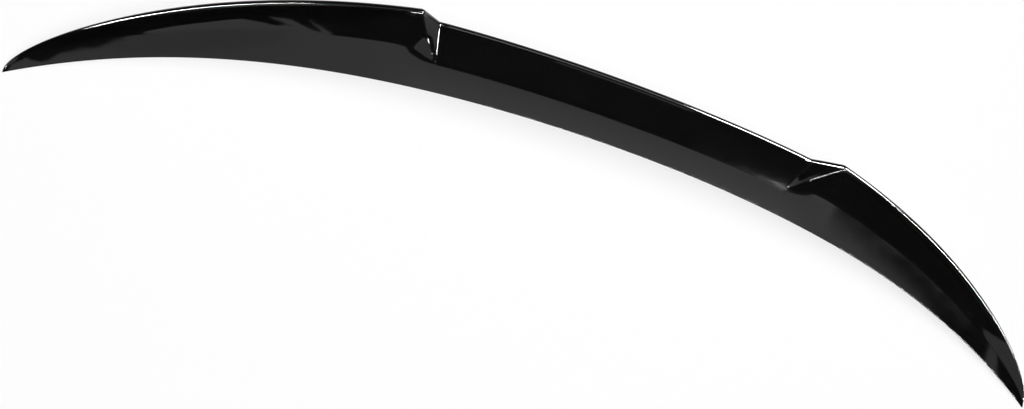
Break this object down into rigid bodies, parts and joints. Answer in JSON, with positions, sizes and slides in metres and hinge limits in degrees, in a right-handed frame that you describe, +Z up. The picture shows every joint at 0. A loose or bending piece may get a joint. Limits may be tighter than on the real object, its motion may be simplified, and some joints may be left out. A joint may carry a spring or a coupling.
{
  "type": "car rear spoiler",
  "caption": "Gloss-black stick-on boot-lid lip spoiler, a low centre section between two raised wings with slanted steps, hollow and ribbed below, bonded with foam tape.",
  "frame": {"origin": "on the boot lid's surface under the middle of the front bonding tape", "axes": "+X across the car, to the right hand of someone who looks towards its rear, +Y to the rear of the car, +Z up"},
  "size_m": [1.2, 0.173, 0.0655],
  "materials": {
    "shell": "high-gloss piano black, smooth",
    "tape": "matte closed-cell foam tape"
  },
  "bodies": {
    "root": {"spoiler_shell": "shell", "front_tape": "tape", "rear_tape_left": "tape", "rear_tape_centre": "tape", "rear_tape_right": "tape"}
  },
  "joints": []
}
